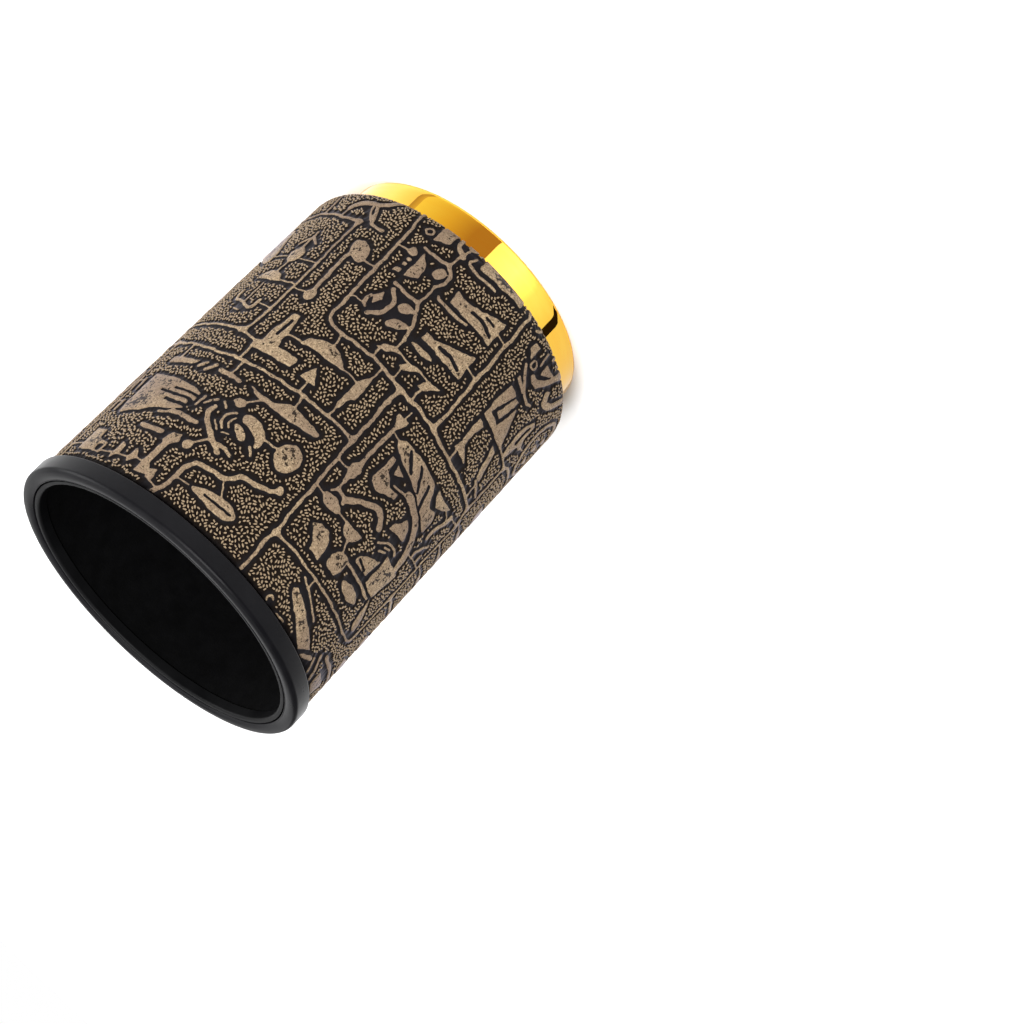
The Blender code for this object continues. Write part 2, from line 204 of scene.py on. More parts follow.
CUT_PLATES = [
    (12, 33.4, 13.2, 35.4, 14.4, 33.6, 13.2, 31.4),
    (16.8, 73.6, 17.6, 74.7, 18.8, 75.1, 20, 74, 19.3, 72.8, 17.8, 72.5),
    (20.4, 99.9, 25.4, 100, 25, 91.2, 25.8, 90.4, 25.1, 87.8, 22.7, 86.9, 22.2, 88.8, 23.4, 90.9, 23.4, 97, 22.5, 98,
     20.8, 97.2),
    (27, 97.3, 28.5, 99.4, 29.1, 98.2, 29, 94.8, 27.8, 95.9),
    (31.6, 98.5, 33.3, 99.9, 33.6, 97.6, 33.8, 94.7, 32.4, 95.7),
    (37.2, 99.8, 45, 99.9, 45.5, 96, 45, 93.2, 41.2, 93.1, 40.8, 95.6, 39.6, 96.1, 37.3, 96.4),
    (28.4, 81.7, 32, 83.4, 38, 85.9, 44.3, 87.4, 45.1, 84, 45, 74.6, 38, 74.9, 30, 75.7, 27.5, 76.4, 27.3, 79,
     28.4, 79.6),
    (35, 68.6, 36.4, 70, 45.2, 70.4, 45.2, 68.6),
    (-18.1, 87.1, -14.9, 87.2, -14.4, 85.5, -11.7, 82.9, -13.4, 81.3, -15.6, 81.2, -17.4, 82.4, -18, 84.5),
    (-22.5, 75.7, -16.6, 76.1, -17.2, 77.6, -18.6, 78.9, -20.4, 79.1, -22, 77.8),
    (-39.3, 71.6, -37.6, 80, -32.3, 79.9, -32, 71.8),
    (-31, 74.3, -30.8, 79.5, -26, 79.7, -25.4, 78.4, -27.6, 76.3),
    (-34.4, 99.6, -30.5, 102, -24, 99, -19.2, 96.7, -18.6, 95.4, -19.6, 94.6, -23.5, 95.7, -29, 97.5),
    (-50.4, 98, -44, 98.2, -44.4, 102.2, -49.4, 102.2),
    (-58, 86.8, -50.4, 90, -53, 92, -59.6, 91.4),
    (-11.4, 68.7, -10.2, 70.7, -8.8, 68.7, -8.6, 66.6, -9.8, 64.8, -10.7, 64.8, -11.8, 66.8),
    (-10.5, 53.6, -9.6, 53.5, -8.2, 51.6, -8.4, 50.4, -11.6, 50.4, -11.8, 51.2),
    (-22, 64, -16.6, 66.5, -14.7, 66, -13.8, 65, -14.2, 58.1, -15.7, 58.2, -15.9, 61.5, -17.4, 62, -18.8, 63.4,
     -21.6, 62.4),
    (-20, 59.3, -16.8, 58.5, -17.6, 61),
    (-38, 51.9, -35.4, 54, -32.4, 55.1, -30.4, 54.3, -29.6, 52.8),
    (-32.3, 66.9, -30, 67.3, -26.1, 68.5, -26.4, 66.8, -27.8, 65.2, -28.5, 63.4, -31, 64.4),
    (8.9, 60.2, 13.1, 60.2, 11.4, 56),
    (6.8, 53.1, 18.5, 53.4, 17.5, 51.2, 15.4, 49.9, 12.8, 49.5, 10, 49.9, 8.2, 51.3),
    (15.9, 60, 27.6, 60.3, 27.7, 58.2, 26.6, 57.4, 26, 53, 25.3, 47.7, 23.5, 47.6, 22.5, 53, 21.9, 57.2, 16, 57.4),
    (36.6, 41.2, 45.7, 41.2, 44.4, 39.3, 42.4, 38.1, 40, 37.9, 38, 38.9),
    (-11.8, 39.2, -8.5, 42.7, -6.9, 43, -7.3, 41.4, -8.8, 40.1),
    (-5.7, 40.1, -2.5, 42.8, -0.7, 43, -1.6, 41.2, -3.5, 40),
    (0.3, 40.1, 3.5, 42.8, 5.9, 43.1, 4.5, 41.5, 2, 39.9),
    (-13.1, 34.3, -6, 34.3, -0.2, 34.5, -0.1, 32.1, -2.8, 32.3, -6, 30.5, -12.7, 27.5),
    (-12.3, 22.9, -7, 23, 0.7, 23.1, 1.3, 19.6, -1, 19.9, -5.5, 18.9, -12.3, 16.1),
    (-12.1, 10.9, -3, 11.2, 1, 11.7, 1.4, 3, -12.2, 3),
    (9.6, 23.7, 12.7, 25.8, 12.9, 17.2, 10.2, 20),
    (9.7, 12.1, 13.6, 13.7, 13.9, 3, 10, 3),
    (13.8, 25.6, 15.4, 26, 15.5, 24.5, 14, 24.3),
    (13.9, 23.4, 15, 23.4, 15, 22.3, 13.9, 22.4),
    (-38.2, 41.9, -36.3, 41.9, -32.2, 34.7, -34.9, 34.9),
    (-29.9, 44, -23.9, 44.1, -24.6, 41.5, -23.7, 38, -23.8, 34.8, -26.4, 34.9, -25.6, 38, -25.9, 41.4),
    (-35.8, 33.3, -23.5, 33.4, -24.4, 31.4, -29, 31.9, -30, 24.9, -31, 26.2),
    (-28.1, 30.7, -26, 30.4, -27.8, 23.9, -29.4, 23.9),
    (-24.5, 31.6, -23.6, 33, -23.5, 28, -23.8, 23.1, -27.5, 23.5, -26.2, 26.6),
    (-39.6, 32.6, -38, 32.6, -36.8, 27, -37.2, 23.8, -38.8, 20.6, -40.3, 21, -40.8, 25, -42.4, 27.3, -40.3, 28.4),
    (-31.8, 11.6, -28.2, 15.2, -27.4, 12.2),
    (-22.7, 15.8, -20.4, 14.3, -20.8, 12.3, -22.8, 11.9),
]
# Round plates: (u, v, half width, half height). Rings have the width of their band as well.
DISCS = [(2, 77.1, 3.1, 3.6), (-11.3, 76.5, 2.9, 1.6), (20.2, 88.7, 1.1, 1.15), (-1.5, 83.5, 1.05, 1.1),
         (15.1, 18.9, 1.2, 1.1),
         (14.5, 21.2, 0.7, 0.6), (26, 41.6, 1.5, 1.7), (39.9, 32.4, 2.3, 2.4), (-50.6, 24.4, 1.6, 1.0),
         (-49.4, 20.8, 1.1, 1.3), (-51.6, 17, 1.7, 1.0)]
RINGS = [(15.5, 12.2, 0.9, 0.9, 0.55), (-24.4, 15.7, 1.0, 1.0, 0.6), (-50.4, 20.6, 6.0, 8.0, 1.2),
         (56, 76.6, 3.4, 4.4, 1.1)]
# Slots cut through the plates, written as the bands are.
SLOTS = [
    (0.55, 2.2, 95.5, 9.2, 95.9), (0.7, 27, 80.8, 34.4, 80.9), (0.7, 26, 79.3, 37.6, 79.1),
    (0.7, 27, 77.6, 34.6, 77.4), (0.9, -29, 59.7, -26.4, 55), (0.9, -25.2, 58.2, -21.6, 54),
    (0.9, -20.4, 57, -17.2, 53.9), (0.9, -11.2, 32.9, -8, 32, -4.8, 32.6), (0.8, -11, 21.4, -8, 20.3, -4.6, 20.6),
    (1.0, -38.8, 28, -39.2, 22.8), (1.3, 38.5, 98.7, 38.5, 97.9), (0.6, -29.4, 79, -26.4, 78.6),
    (0.6, -10, 19, -8, 19), (0.9, 29.4, 10.4, 33, 11.9), (0.8, 24.2, 50, 24.4, 54.6),
]


def paired(values):
    """The points of a list that names u and v in turn."""
    return list(zip(values[::2], values[1::2]))


def bar_distance(u, v, a, b):
    """Distance from the line between the points a and b."""
    du, dv = b[0] - a[0], b[1] - a[1]
    share = np.clip(((u - a[0]) * du + (v - a[1]) * dv) / (du * du + dv * dv), 0, 1)
    return np.hypot(u - a[0] - share * du, v - a[1] - share * dv)


def strip_distance(u, v, width, points):
    """Signed distance from a bent strip of this width."""
    return np.minimum.reduce([bar_distance(u, v, a, b) for a, b in zip(points, points[1:])]) - width / 2


def plate_distance(u, v, points):
    """Signed distance from a closed outline, negative inside."""
    inside = np.zeros(u.shape, bool)
    gap = np.full(u.shape, 1e9)
    for a, b in zip(points, points[1:] + points[:1]):
        gap = np.minimum(gap, bar_distance(u, v, a, b))
        if a[1] != b[1]:
            crosses = (a[1] > v) != (b[1] > v)
            inside ^= crosses & (u < (b[0] - a[0]) * (v - a[1]) / (b[1] - a[1]) + a[0])
    return np.where(inside, -gap, gap)


def oval_distance(u, v, centre_u, centre_v, half_u, half_v):
    """Signed distance from an oval, near enough close to its line."""
    du, dv = (u - centre_u) / half_u, (v - centre_v) / half_v
    size = np.hypot(du, dv) + 1e-6
    return (size - 1) * size / (np.hypot(du / half_u, dv / half_v) + 1e-6)


def softened(points):
    """A closed outline with its corners cut twice, which rounds them."""
    points = np.array(points, float)
    for _ in range(2):
        after = np.roll(points, -1, axis=0)
        points = np.stack([points * 0.78 + after * 0.22, points * 0.22 + after * 0.78], 1).reshape(-1, 2)
    return [tuple(p) for p in points]


def curved(points):
    """An open line rounded at its inner corners."""
    points = np.array(points, float)
    for _ in range(2):
        if len(points) > 2:
            near = points[:-1] * 0.75 + points[1:] * 0.25
            far = points[:-1] * 0.25 + points[1:] * 0.75
            points = np.vstack([points[:1], np.stack([near, far], 1).reshape(-1, 2)[1:-1], points[-1:]])
    return [tuple(p) for p in points]


def ripple(rows, columns, step, size):
    """Smooth noise that repeats at its borders, mean 0 and deviation 1, with bumps about size across."""
    down = np.fft.fftfreq(rows, step)[:, None]
    along = np.fft.rfftfreq(columns, step)[None, :]
    keep = np.exp(-(np.hypot(down, along) * size) ** 2)
    noise = np.fft.irfft2(np.fft.rfft2(RNG.standard_normal((rows, columns))) * keep, (rows, columns))
    return (noise - noise.mean()) / noise.std()


def join(first, second, fillet):
    """The union of two shapes' distances, with a fillet where they meet."""
    blend = np.maximum(fillet - np.abs(first - second), 0) / fillet
    return np.minimum(first, second) - blend * blend * fillet / 4


def raised_distance():
    """Signed distance from the raised shapes of one period, on the grid, with edges that wander as if cut by hand."""
    u = (np.arange(COLUMNS) + 0.5) * CELL - PERIOD / 2
    v = V_LOW - CELL + np.arange(ROWS) * CELL
    u, v = np.meshgrid(u, v)
    u = u + 0.07 * ripple(ROWS, COLUMNS, CELL, 1.5) + 0.12 * ripple(ROWS, COLUMNS, CELL, 5)
    v = v + 0.07 * ripple(ROWS, COLUMNS, CELL, 1.5) + 0.12 * ripple(ROWS, COLUMNS, CELL, 5)
    field = np.full(u.shape, 9.0)

    def press(points, measure, reach=2.5, cut=False, fillet=0.45):
        """Join a shape to the field, or cut it out, wherever its turns round the roller come near."""
        low_u, high_u = min(p[0] for p in points) - reach, max(p[0] for p in points) + reach
        low_v, high_v = min(p[1] for p in points) - reach, max(p[1] for p in points) + reach
        for turn in (-PERIOD, 0, PERIOD):
            first = max(0, int((low_u + turn + PERIOD / 2) / CELL))
            last = min(COLUMNS, int((high_u + turn + PERIOD / 2) / CELL))
            bottom, top = max(0, int((low_v - V_LOW) / CELL)), min(ROWS, int((high_v - V_LOW) / CELL))
            if first < last and bottom < top:
                window = np.s_[bottom:top, first:last]
                shape = measure(u[window] - turn, v[window])
                if cut:
                    field[window] = np.maximum(field[window], -shape)
                else:
                    field[window] = join(field[window], shape, fillet)

    for width, *values in RIDGES:
        points = paired(values)
        press(points, lambda a, b: strip_distance(a, b, width, curved(points)), fillet=1.5)
    for table, shaped in ((SOFT_PLATES, softened), (CUT_PLATES, list)):
        for values in table:
            points = paired(values)
            press(points, lambda a, b: plate_distance(a, b, shaped(points)))
    for disc in DISCS:
        corners = [(disc[0] - disc[2], disc[1] - disc[3]), (disc[0] + disc[2], disc[1] + disc[3])]
        press(corners, lambda a, b: oval_distance(a, b, *disc))
    for ring in RINGS:
        corners = [(ring[0] - ring[2] - 1, ring[1] - ring[3] - 1), (ring[0] + ring[2] + 1, ring[1] + ring[3] + 1)]
        press(corners, lambda a, b: np.abs(oval_distance(a, b, *ring[:4])) - ring[4] / 2)
    for table, cut in ((SLOTS, True), (STRIPS, False)):
        for width, *values in table:
            points = paired(values)
            press(points, lambda a, b: strip_distance(a, b, width, curved(points)), cut=cut)
    return field


def contours(field, level, step_u, origin):
    """Closed loops where the field crosses a level, as arrays of points, by marching squares."""
    value = field - level
    value[value == 0] = 1e-9
    rows, columns = value.shape
    inside = value < 0
    case = (inside[:-1, :-1] * 1 + inside[:-1, 1:] * 2 + inside[1:, 1:] * 4 + inside[1:, :-1] * 8)
    middle = (value[:-1, :-1] + value[:-1, 1:] + value[1:, 1:] + value[1:, :-1]) < 0
    # A cell's sides: 0 below, 1 right, 2 above, 3 left. Each pair is a way through it, with the inside on its left.
    moves = {1: ["03"], 2: ["10"], 3: ["13"], 4: ["21"], 6: ["20"], 7: ["23"], 8: ["32"],
             9: ["02"], 11: ["12"], 12: ["31"], 13: ["01"], 14: ["30"]}
    # Opposite corners inside: joined through the middle, or apart.
    crossed = {5: (["01", "23"], ["03", "21"]), 10: (["30", "12"], ["10", "32"])}
    flat = rows * columns

    def side(cells, which):
        down, right, upright = ((0, 0, 0), (0, 1, 1), (1, 0, 0), (0, 0, 1))[int(which)]
        return upright * flat + (cells[:, 0] + down) * columns + cells[:, 1] + right

    starts, ends = [], []
    for number in range(1, 15):    # 0 and 15 lie wholly outside and inside
        here = np.argwhere(case == number)
        groups = [(here, moves.get(number))]
        if number in crossed:
            full = middle[here[:, 0], here[:, 1]]
            groups = [(here[full], crossed[number][0]), (here[~full], crossed[number][1])]
        for cells, pairs in groups:
            for a, b in pairs:
                starts.append(side(cells, a))
                ends.append(side(cells, b))
    starts, ends = np.concatenate(starts), np.concatenate(ends)
    upright = starts >= flat
    row, column = (starts % flat) // columns, (starts % flat) % columns
    other_row, other_column = row + upright, column + ~upright
    first, second = value[row, column], value[other_row, other_column]
    share = first / (first - second)
    at_u = origin[0] + step_u * (column + share * ~upright)
    at_v = origin[1] + step_u * (row + share * upright)
    place = dict(zip(starts.tolist(), zip(at_u.tolist(), at_v.tolist())))
    follow = dict(zip(starts.tolist(), ends.tolist()))
    loops = []
    while follow:
        start, key = follow.popitem()
        loop = [place[start]]
        while key != start:
            loop.append(place[key])
            key = follow.pop(key)
        loops.append(np.array(loop))
    return loops


def even_loop(loop, spacing):
    """The loop's line in even steps, or None if it is too short to keep."""
    closed = np.vstack([loop, loop[:1]])
    along = np.concatenate([[0], np.cumsum(np.hypot(*np.diff(closed, axis=0).T))])
    count = int(round(along[-1] / spacing))
    if count < 5:
        return None
    at = np.arange(count) * along[-1] / count
    return np.stack([np.interp(at, along, closed[:, 0]), np.interp(at, along, closed[:, 1])], 1)


def scattered(field, low, lean, along, across, tries):
    """Random points where the field is above low, kept further apart along their lean than across it; and the leans."""
    rows, columns = field.shape
    spots = RNG.random((tries, 2)) * (columns * CELL, rows * CELL)
    row = np.minimum((spots[:, 1] / CELL).astype(int), rows - 1)
    column = np.minimum((spots[:, 0] / CELL).astype(int), columns - 1)
    good = field[row, column] > low
    spots, leans = spots[good], lean[row, column][good]
    size = across / math.sqrt(2)
    reach = int(math.ceil(along / size))
    steps = [(a, b) for a in range(-reach, reach + 1) for b in range(-reach, reach + 1)]
    taken, kept = {}, []
    along_u, along_v = np.cos(leans) / along, np.sin(leans) / along
    across_u, across_v = -np.sin(leans) / across, np.cos(leans) / across
    every = zip(spots[:, 0].tolist(), spots[:, 1].tolist(), along_u.tolist(), along_v.tolist(),
                across_u.tolist(), across_v.tolist())
    for index, (u, v, au, av, bu, bv) in enumerate(every):
        i, j = int(u / size), int(v / size)
        if (i, j) in taken:
            continue
        for a, b in steps:
            other = taken.get((i + a, j + b))
            if other:
                du, dv = other[0] - u, other[1] - v
                if (du * au + dv * av) ** 2 + (du * bu + dv * bv) ** 2 < 1:
                    break
        else:
            taken[(i, j)] = (u, v)
            kept.append(index)
    return spots[kept], leans[kept]


def grain_outlines(seeds, leans, clearance):
    """For each seed a rice-shaped foot and top outline, kept inside its own share of the ground and off the moat."""
    count = len(seeds)
    tree = kdtree.KDTree(count)
    for i, (u, v) in enumerate(seeds.tolist()):
        tree.insert((u, v, 0), i)
    tree.balance()
    near = np.zeros((count, 7, 2))
    for i, (u, v) in enumerate(seeds.tolist()):
        found = tree.find_n((u, v, 0), 8)[1:]
        for k, (place, _, _) in enumerate(found):
            near[i, k] = (place[0] - u, place[1] - v)
    far = np.hypot(near[..., 0], near[..., 1])
    far[far == 0] = 9
    toward = np.arctan2(near[..., 1], near[..., 0])
    turns = leans + RNG.normal(0, 0.25, count)
    half_long = RNG.uniform(0.44, 0.68, count)
    half_wide = RNG.uniform(0.225, 0.295, count)

    def outline(points, turn, shrink, noise):
        around = (np.arange(points) + turn)[None, :] * math.tau / points + RNG.uniform(-0.12, 0.12, (count, points))
        along, across = np.cos(around) * half_long[:, None] * shrink, np.sin(around) * half_wide[:, None] * shrink
        reach = np.hypot(along, across) * RNG.uniform(1 - noise, 1 + noise, (count, points))
        way = np.arctan2(across, along) + turns[:, None]
        facing = np.cos(way[:, :, None] - toward[:, None, :])
        limit = np.where(facing > 0.2, (far / 2 - 0.025)[:, None, :] / np.maximum(facing, 0.2), 9).min(2)
        limit = np.minimum(limit, clearance[:, None]) * (1 if shrink == 1 else shrink + 0.1)
        reach = np.minimum(reach, limit)
        return np.stack([seeds[:, None, 0] + reach * np.cos(way), seeds[:, None, 1] + reach * np.sin(way)], 2)

    return outline(GRAIN_FOOT, 0, 1, 0.08), outline(GRAIN_TOP, 0.5, 0.7, 0.05)


def relief_points():
    """The unrolled relief, ready to be joined into triangles.

    Gives the points (u, v), their height from 0 in the ground to 1, the moat's share there (0 on a grain), the edges to
    keep, the number of points on the sheet's border, which come first, and the distance field with its grid.
    """
    half = raised_distance()
    field = np.tile(np.roll(half, -(COLUMNS // 2), axis=1), (1, 2))
    rows, columns = field.shape
    u = -AROUND / 2 + (np.arange(columns) + 0.5) * CELL
    v = V_LOW - CELL + np.arange(rows) * CELL
    edge = np.minimum(AROUND / 2 - SEAM / 2 - np.abs(u)[None, :], np.minimum(v - V_LOW, V_HIGH - v)[:, None])
    field = np.maximum(field, 0.35 - edge)
    origin = (u[0], v[0])
    points, heights, moats, edges = [], [], [], []
    total = 0

    def add(new, height, moat, closed):
        nonlocal total
        count = len(new)
        points.append(new)
        heights.append(np.full(count, height))
        moats.append(np.full(count, moat))
        if closed:
            index = np.arange(total, total + count)
            edges.append(np.stack([index, np.roll(index, -1)], 1))
        total += count

    # The sheet's own border first, so that its numbers are known.
    low_u, high_u = -AROUND / 2 + SEAM / 2, AROUND / 2 - SEAM / 2
    along_u = np.linspace(low_u, high_u, BORDER_U)
    along_v = np.linspace(V_LOW, V_HIGH, BORDER_V)
    border = np.concatenate([
        np.stack([along_u[:-1], np.full(BORDER_U - 1, V_LOW)], 1),
        np.stack([np.full(BORDER_V - 1, high_u), along_v[:-1]], 1),
        np.stack([along_u[:0:-1], np.full(BORDER_U - 1, V_HIGH)], 1),
        np.stack([np.full(BORDER_V - 1, low_u), along_v[:0:-1]], 1)])
    add(border, -0.1, 1.0, True)
    for level, height, spacing in EDGE_LINES:
        for loop in contours(field, level, CELL, origin):
            even = even_loop(loop, spacing)
            if even is not None:
                add(even, height, 1.0, True)

    def here(spots):
        column = np.clip(((spots[:, 0] - u[0]) / CELL).round().astype(int), 0, columns - 1)
        row = np.clip(((spots[:, 1] - v[0]) / CELL).round().astype(int), 0, rows - 1)
        return row, column

    edge_room = np.minimum(field, edge - 0.1)
    lean = 1.6 * ripple(rows, columns, CELL, 4.0)
    seeds, leans = scattered(edge_room, MOAT + 0.1, lean, GRAIN_ALONG, GRAIN_ACROSS, 700000)
    seeds = seeds + origin
    row, column = here(seeds)
    feet, tops = grain_outlines(seeds, leans, field[row, column] - MOAT + 0.2)
    feet, tops = feet.reshape(-1, 2), tops.reshape(-1, 2)
    for group, size, height in ((feet, GRAIN_FOOT, 0.0), (tops, GRAIN_TOP, GRAIN_HEIGHT)):
        index = total + np.arange(len(group)).reshape(-1, size)
        edges.append(np.stack([index, np.roll(index, -1, axis=1)], 2).reshape(-1, 2))
        add(group, height, 0.0, False)
    # A few points on the flat tops let them swell.
    tops, _ = scattered(-field, 0.5, np.zeros(field.shape), 0.95, 0.95, 60000)
    add(tops + origin, 1.0, 1.0, False)
    return (np.concatenate(points), np.concatenate(heights), np.concatenate(moats), np.concatenate(edges), len(border),
            (field, u, v))


def on_cup(u, v, depth):
    """The place of a point of the sheet, depth millimetres under its outer face."""
    angle = u / SHEET_RADIUS
    turn = np.clip((SHOULDER_Z - v) / SHOULDER_RADIUS, 0, SHOULDER_TURN)
    wall = LEATHER_BASE_RADIUS + (np.maximum(v, SHOULDER_Z) - SHOULDER_Z) * (
        (LEATHER_TOP_RADIUS - LEATHER_BASE_RADIUS) / (LEATHER_TOP_Z - SHOULDER_Z))
    corner = LEATHER_BASE_RADIUS - SHOULDER_RADIUS
    low = v < SHOULDER_Z
    radius = np.where(low, corner + (SHOULDER_RADIUS - depth) * np.cos(turn), wall - depth)
    z = np.where(low, SHOULDER_Z - (SHOULDER_RADIUS - depth) * np.sin(turn), v)
    return np.stack([radius * np.sin(angle), -radius * np.cos(angle), z], 1) * MM


def make_leather():
    """The embossed sheet: its relief in triangles rolled round the cup, a plain inner face, and its sides."""
    points, heights, moats, edges, border, (field, grid_u, grid_v) = relief_points()
    verts, _, faces, origins, _, _ = delaunay_2d_cdt(
        [Vector(p) for p in points.tolist()], edges.tolist(), [], 0, 1e-5, True)
    flat = np.array([tuple(v) for v in verts])
    source = np.array([o[0] if o else -1 for o in origins])
    height = np.where(source >= 0, heights[source], 0)
    moat = np.where(source >= 0, moats[source], 1)
    row = np.clip(((flat[:, 1] - grid_v[0]) / CELL).round().astype(int), 0, field.shape[0] - 1)
    column = np.clip(((flat[:, 0] - grid_u[0]) / CELL).round().astype(int), 0, field.shape[1] - 1)
    inward = -field[row, column]
    made = source < 0
    height[made] = np.interp(inward[made], [-line[0] for line in EDGE_LINES], [line[1] for line in EDGE_LINES])
    swell = ripple(512, 1024, SWELL_CELL, 3.0)
    at = swell[(flat[:, 1] / SWELL_CELL).astype(int) % 512, (flat[:, 0] / SWELL_CELL).astype(int) % 1024]
    border_first = np.isin(source, np.arange(border))
    depth = RELIEF_DEPTH * (1 - height) + 0.018 * np.where(border_first, 0, at)
    outer = on_cup(flat[:, 0], flat[:, 1], depth)
    # The inner face has the same border and only enough points between to stay round.
    rim = np.full(border, -1)
    rim[source[border_first]] = np.flatnonzero(border_first)
    inside_u, inside_v = np.meshgrid(np.linspace(-118, 118, 90), np.linspace(V_LOW + 3, V_HIGH - 3, 18))
    back = np.vstack([points[:border], np.stack([inside_u.ravel(), inside_v.ravel()], 1)])
    loop = np.arange(border)
    back_verts, _, back_faces, back_origins, _, _ = delaunay_2d_cdt(
        [Vector(p) for p in back.tolist()], np.stack([loop, np.roll(loop, -1)], 1).tolist(), [], 0, 1e-5, True)
    back_flat = np.array([tuple(v) for v in back_verts])
    back_source = np.array([o[0] for o in back_origins])
    inner = on_cup(back_flat[:, 0], back_flat[:, 1], np.full(len(back_flat), LEATHER_THICKNESS))
    start = len(outer)
    back_rim = np.full(border, -1)
    on_rim = back_source < border
    back_rim[back_source[on_rim]] = np.flatnonzero(on_rim) + start
    following = np.roll(loop, -1)
    sides = [(int(rim[a]), int(back_rim[a]), int(back_rim[b]), int(rim[b])) for a, b in zip(loop, following)]
    all_faces = [tuple(f) for f in faces] + [tuple(start + i for i in reversed(f)) for f in back_faces] + sides
    mesh = bpy.data.meshes.new("embossed_leather")
    mesh.from_pydata(np.vstack([outer, inner]).tolist(), [], all_faces)
    nothing = np.zeros(len(inner))
    for name, values in (("relief", np.concatenate([np.clip(height, 0, 1), nothing])),
                         ("moat", np.concatenate([moat, nothing + 1])),
                         ("middle", np.concatenate([np.clip(inward / 1.5, 0, 1), nothing]))):
        mesh.attributes.new(name, "FLOAT", "POINT").data.foreach_set("value", values.astype(np.float32))
    bake_layout(mesh, np.vstack([flat, back_flat]), len(faces), len(back_faces))
    mesh.polygons.foreach_set("use_smooth", np.ones(len(mesh.polygons), bool))
    return add_piece("embossed_leather", mesh)


def bake_layout(mesh, flat, outer_faces, inner_faces):
    """The sheet laid out for a texture: its outer face in two wide rows, its hidden inner face in a thin strip."""
    count = len(mesh.loops)
    corner = np.zeros(count, np.int32)
    mesh.loops.foreach_get("vertex_index", corner)
    starts = np.zeros(len(mesh.polygons), np.int32)
    totals = np.zeros(len(mesh.polygons), np.int32)
    mesh.polygons.foreach_get("loop_start", starts)
    mesh.polygons.foreach_get("loop_total", totals)
    face = np.repeat(np.arange(len(starts)), totals)
    u, v = flat[corner, 0], (flat[corner, 1] - V_LOW) / (V_HIGH - V_LOW)
    middle = np.bincount(face, u) / totals
    right = middle[face] > 0
    place_u = 0.01 + 0.98 * np.where(right, u, u + AROUND / 2) / (AROUND / 2)
    place_v = np.where(right, 0.525 + 0.455 * v, 0.05 + 0.455 * v)
    hidden = face >= outer_faces
    place_u = np.where(hidden, 0.01 + 0.98 * (u / AROUND + 0.5), place_u)
    place_v = np.where(hidden, 0.01 + 0.02 * v, place_v)
    layer = mesh.uv_layers.new(name="OFBake")
    layer.data.foreach_set("uv", np.stack([place_u, place_v], 1).astype(np.float32).ravel())


def add_piece(name, mesh):
    piece = bpy.data.objects.new(name, mesh)
    bpy.context.scene.collection.objects.link(piece)
    return piece


# ---- Turned pieces ----


def rounding(radius, z, size, start, end, steps=8):
    """Points (radius, z) round a corner about its centre, from the angle start to end, in degrees."""
    turns = [math.radians(start + (end - start) * i / steps) for i in range(steps + 1)]
    return [(radius + size * math.cos(t), z + size * math.sin(t)) for t in turns]


def turned(name, section, steps=256, uneven=None):
    """A body turned from a section of (radius, z) in millimetres; uneven(angle, radius, z) moves its points."""
    axis_first, axis_last = section[0][0] == 0, section[-1][0] == 0
    shell = bmesh.new()
    rings = []
    for index, (radius, z) in enumerate(section):
        if radius == 0:
            rings.append([shell.verts.new((0, 0, z * MM))])
            continue
        ring = []
        for step in range(steps):
            angle = math.tau * step / steps
            r, h = (radius, z) if uneven is None else uneven(angle, radius, z)
            ring.append(shell.verts.new((r * math.cos(angle) * MM, r * math.sin(angle) * MM, h * MM)))
        rings.append(ring)
    pairs = list(zip(rings, rings[1:]))
    if not (axis_first or axis_last):
        pairs.append((rings[-1], rings[0]))
    for one, other in pairs:
        for step in range(steps):
            after = (step + 1) % steps
            if len(one) == 1:
                shell.faces.new((one[0], other[step], other[after]))
            elif len(other) == 1:
                shell.faces.new((one[step], other[0], one[after]))
            else:
                shell.faces.new((one[step], other[step], other[after], one[after]))
    bmesh.ops.recalc_face_normals(shell, faces=shell.faces)
    mesh = bpy.data.meshes.new(name)
    shell.to_mesh(mesh)
    shell.free()
    mesh.polygons.foreach_set("use_smooth", np.ones(len(mesh.polygons), bool))
    mesh.set_sharp_from_angle(angle=math.radians(35))
    return add_piece(name, mesh)


def cup_radius(z):
    """The leather's outer radius at a height above its shoulder."""
    share = (z - SHOULDER_Z) / (LEATHER_TOP_Z - SHOULDER_Z)
    return LEATHER_BASE_RADIUS + share * (LEATHER_TOP_RADIUS - LEATHER_BASE_RADIUS)


def make_rim():
    """The ring round the mouth, with a slightly crowned face and a rounded outer edge."""
    inner, soft, round_edge = MOUTH_RADIUS + LIP_WIDTH + GAP, 0.3, 1.2
    section = rounding(inner + soft, RIM_HIGH - 0.52, soft, 180, 100, 4)
    section += [(inner + soft + (RIM_RADIUS - round_edge - soft - inner) * i / 8, RIM_HIGH - 0.2 * (i / 5 - 1.2) ** 2)
                for i in range(9)]
    section += rounding(RIM_RADIUS - round_edge, RIM_HIGH - 1.24, round_edge, 80, 0, 10)
    section += [(RIM_RADIUS, RIM_LOW + 2.4)]
    section += rounding(RIM_RADIUS - 0.4, RIM_LOW + 0.4, 0.4, 0, -90, 5)
    section += [(inner, RIM_LOW)]
    return turned("rim_ring", section)


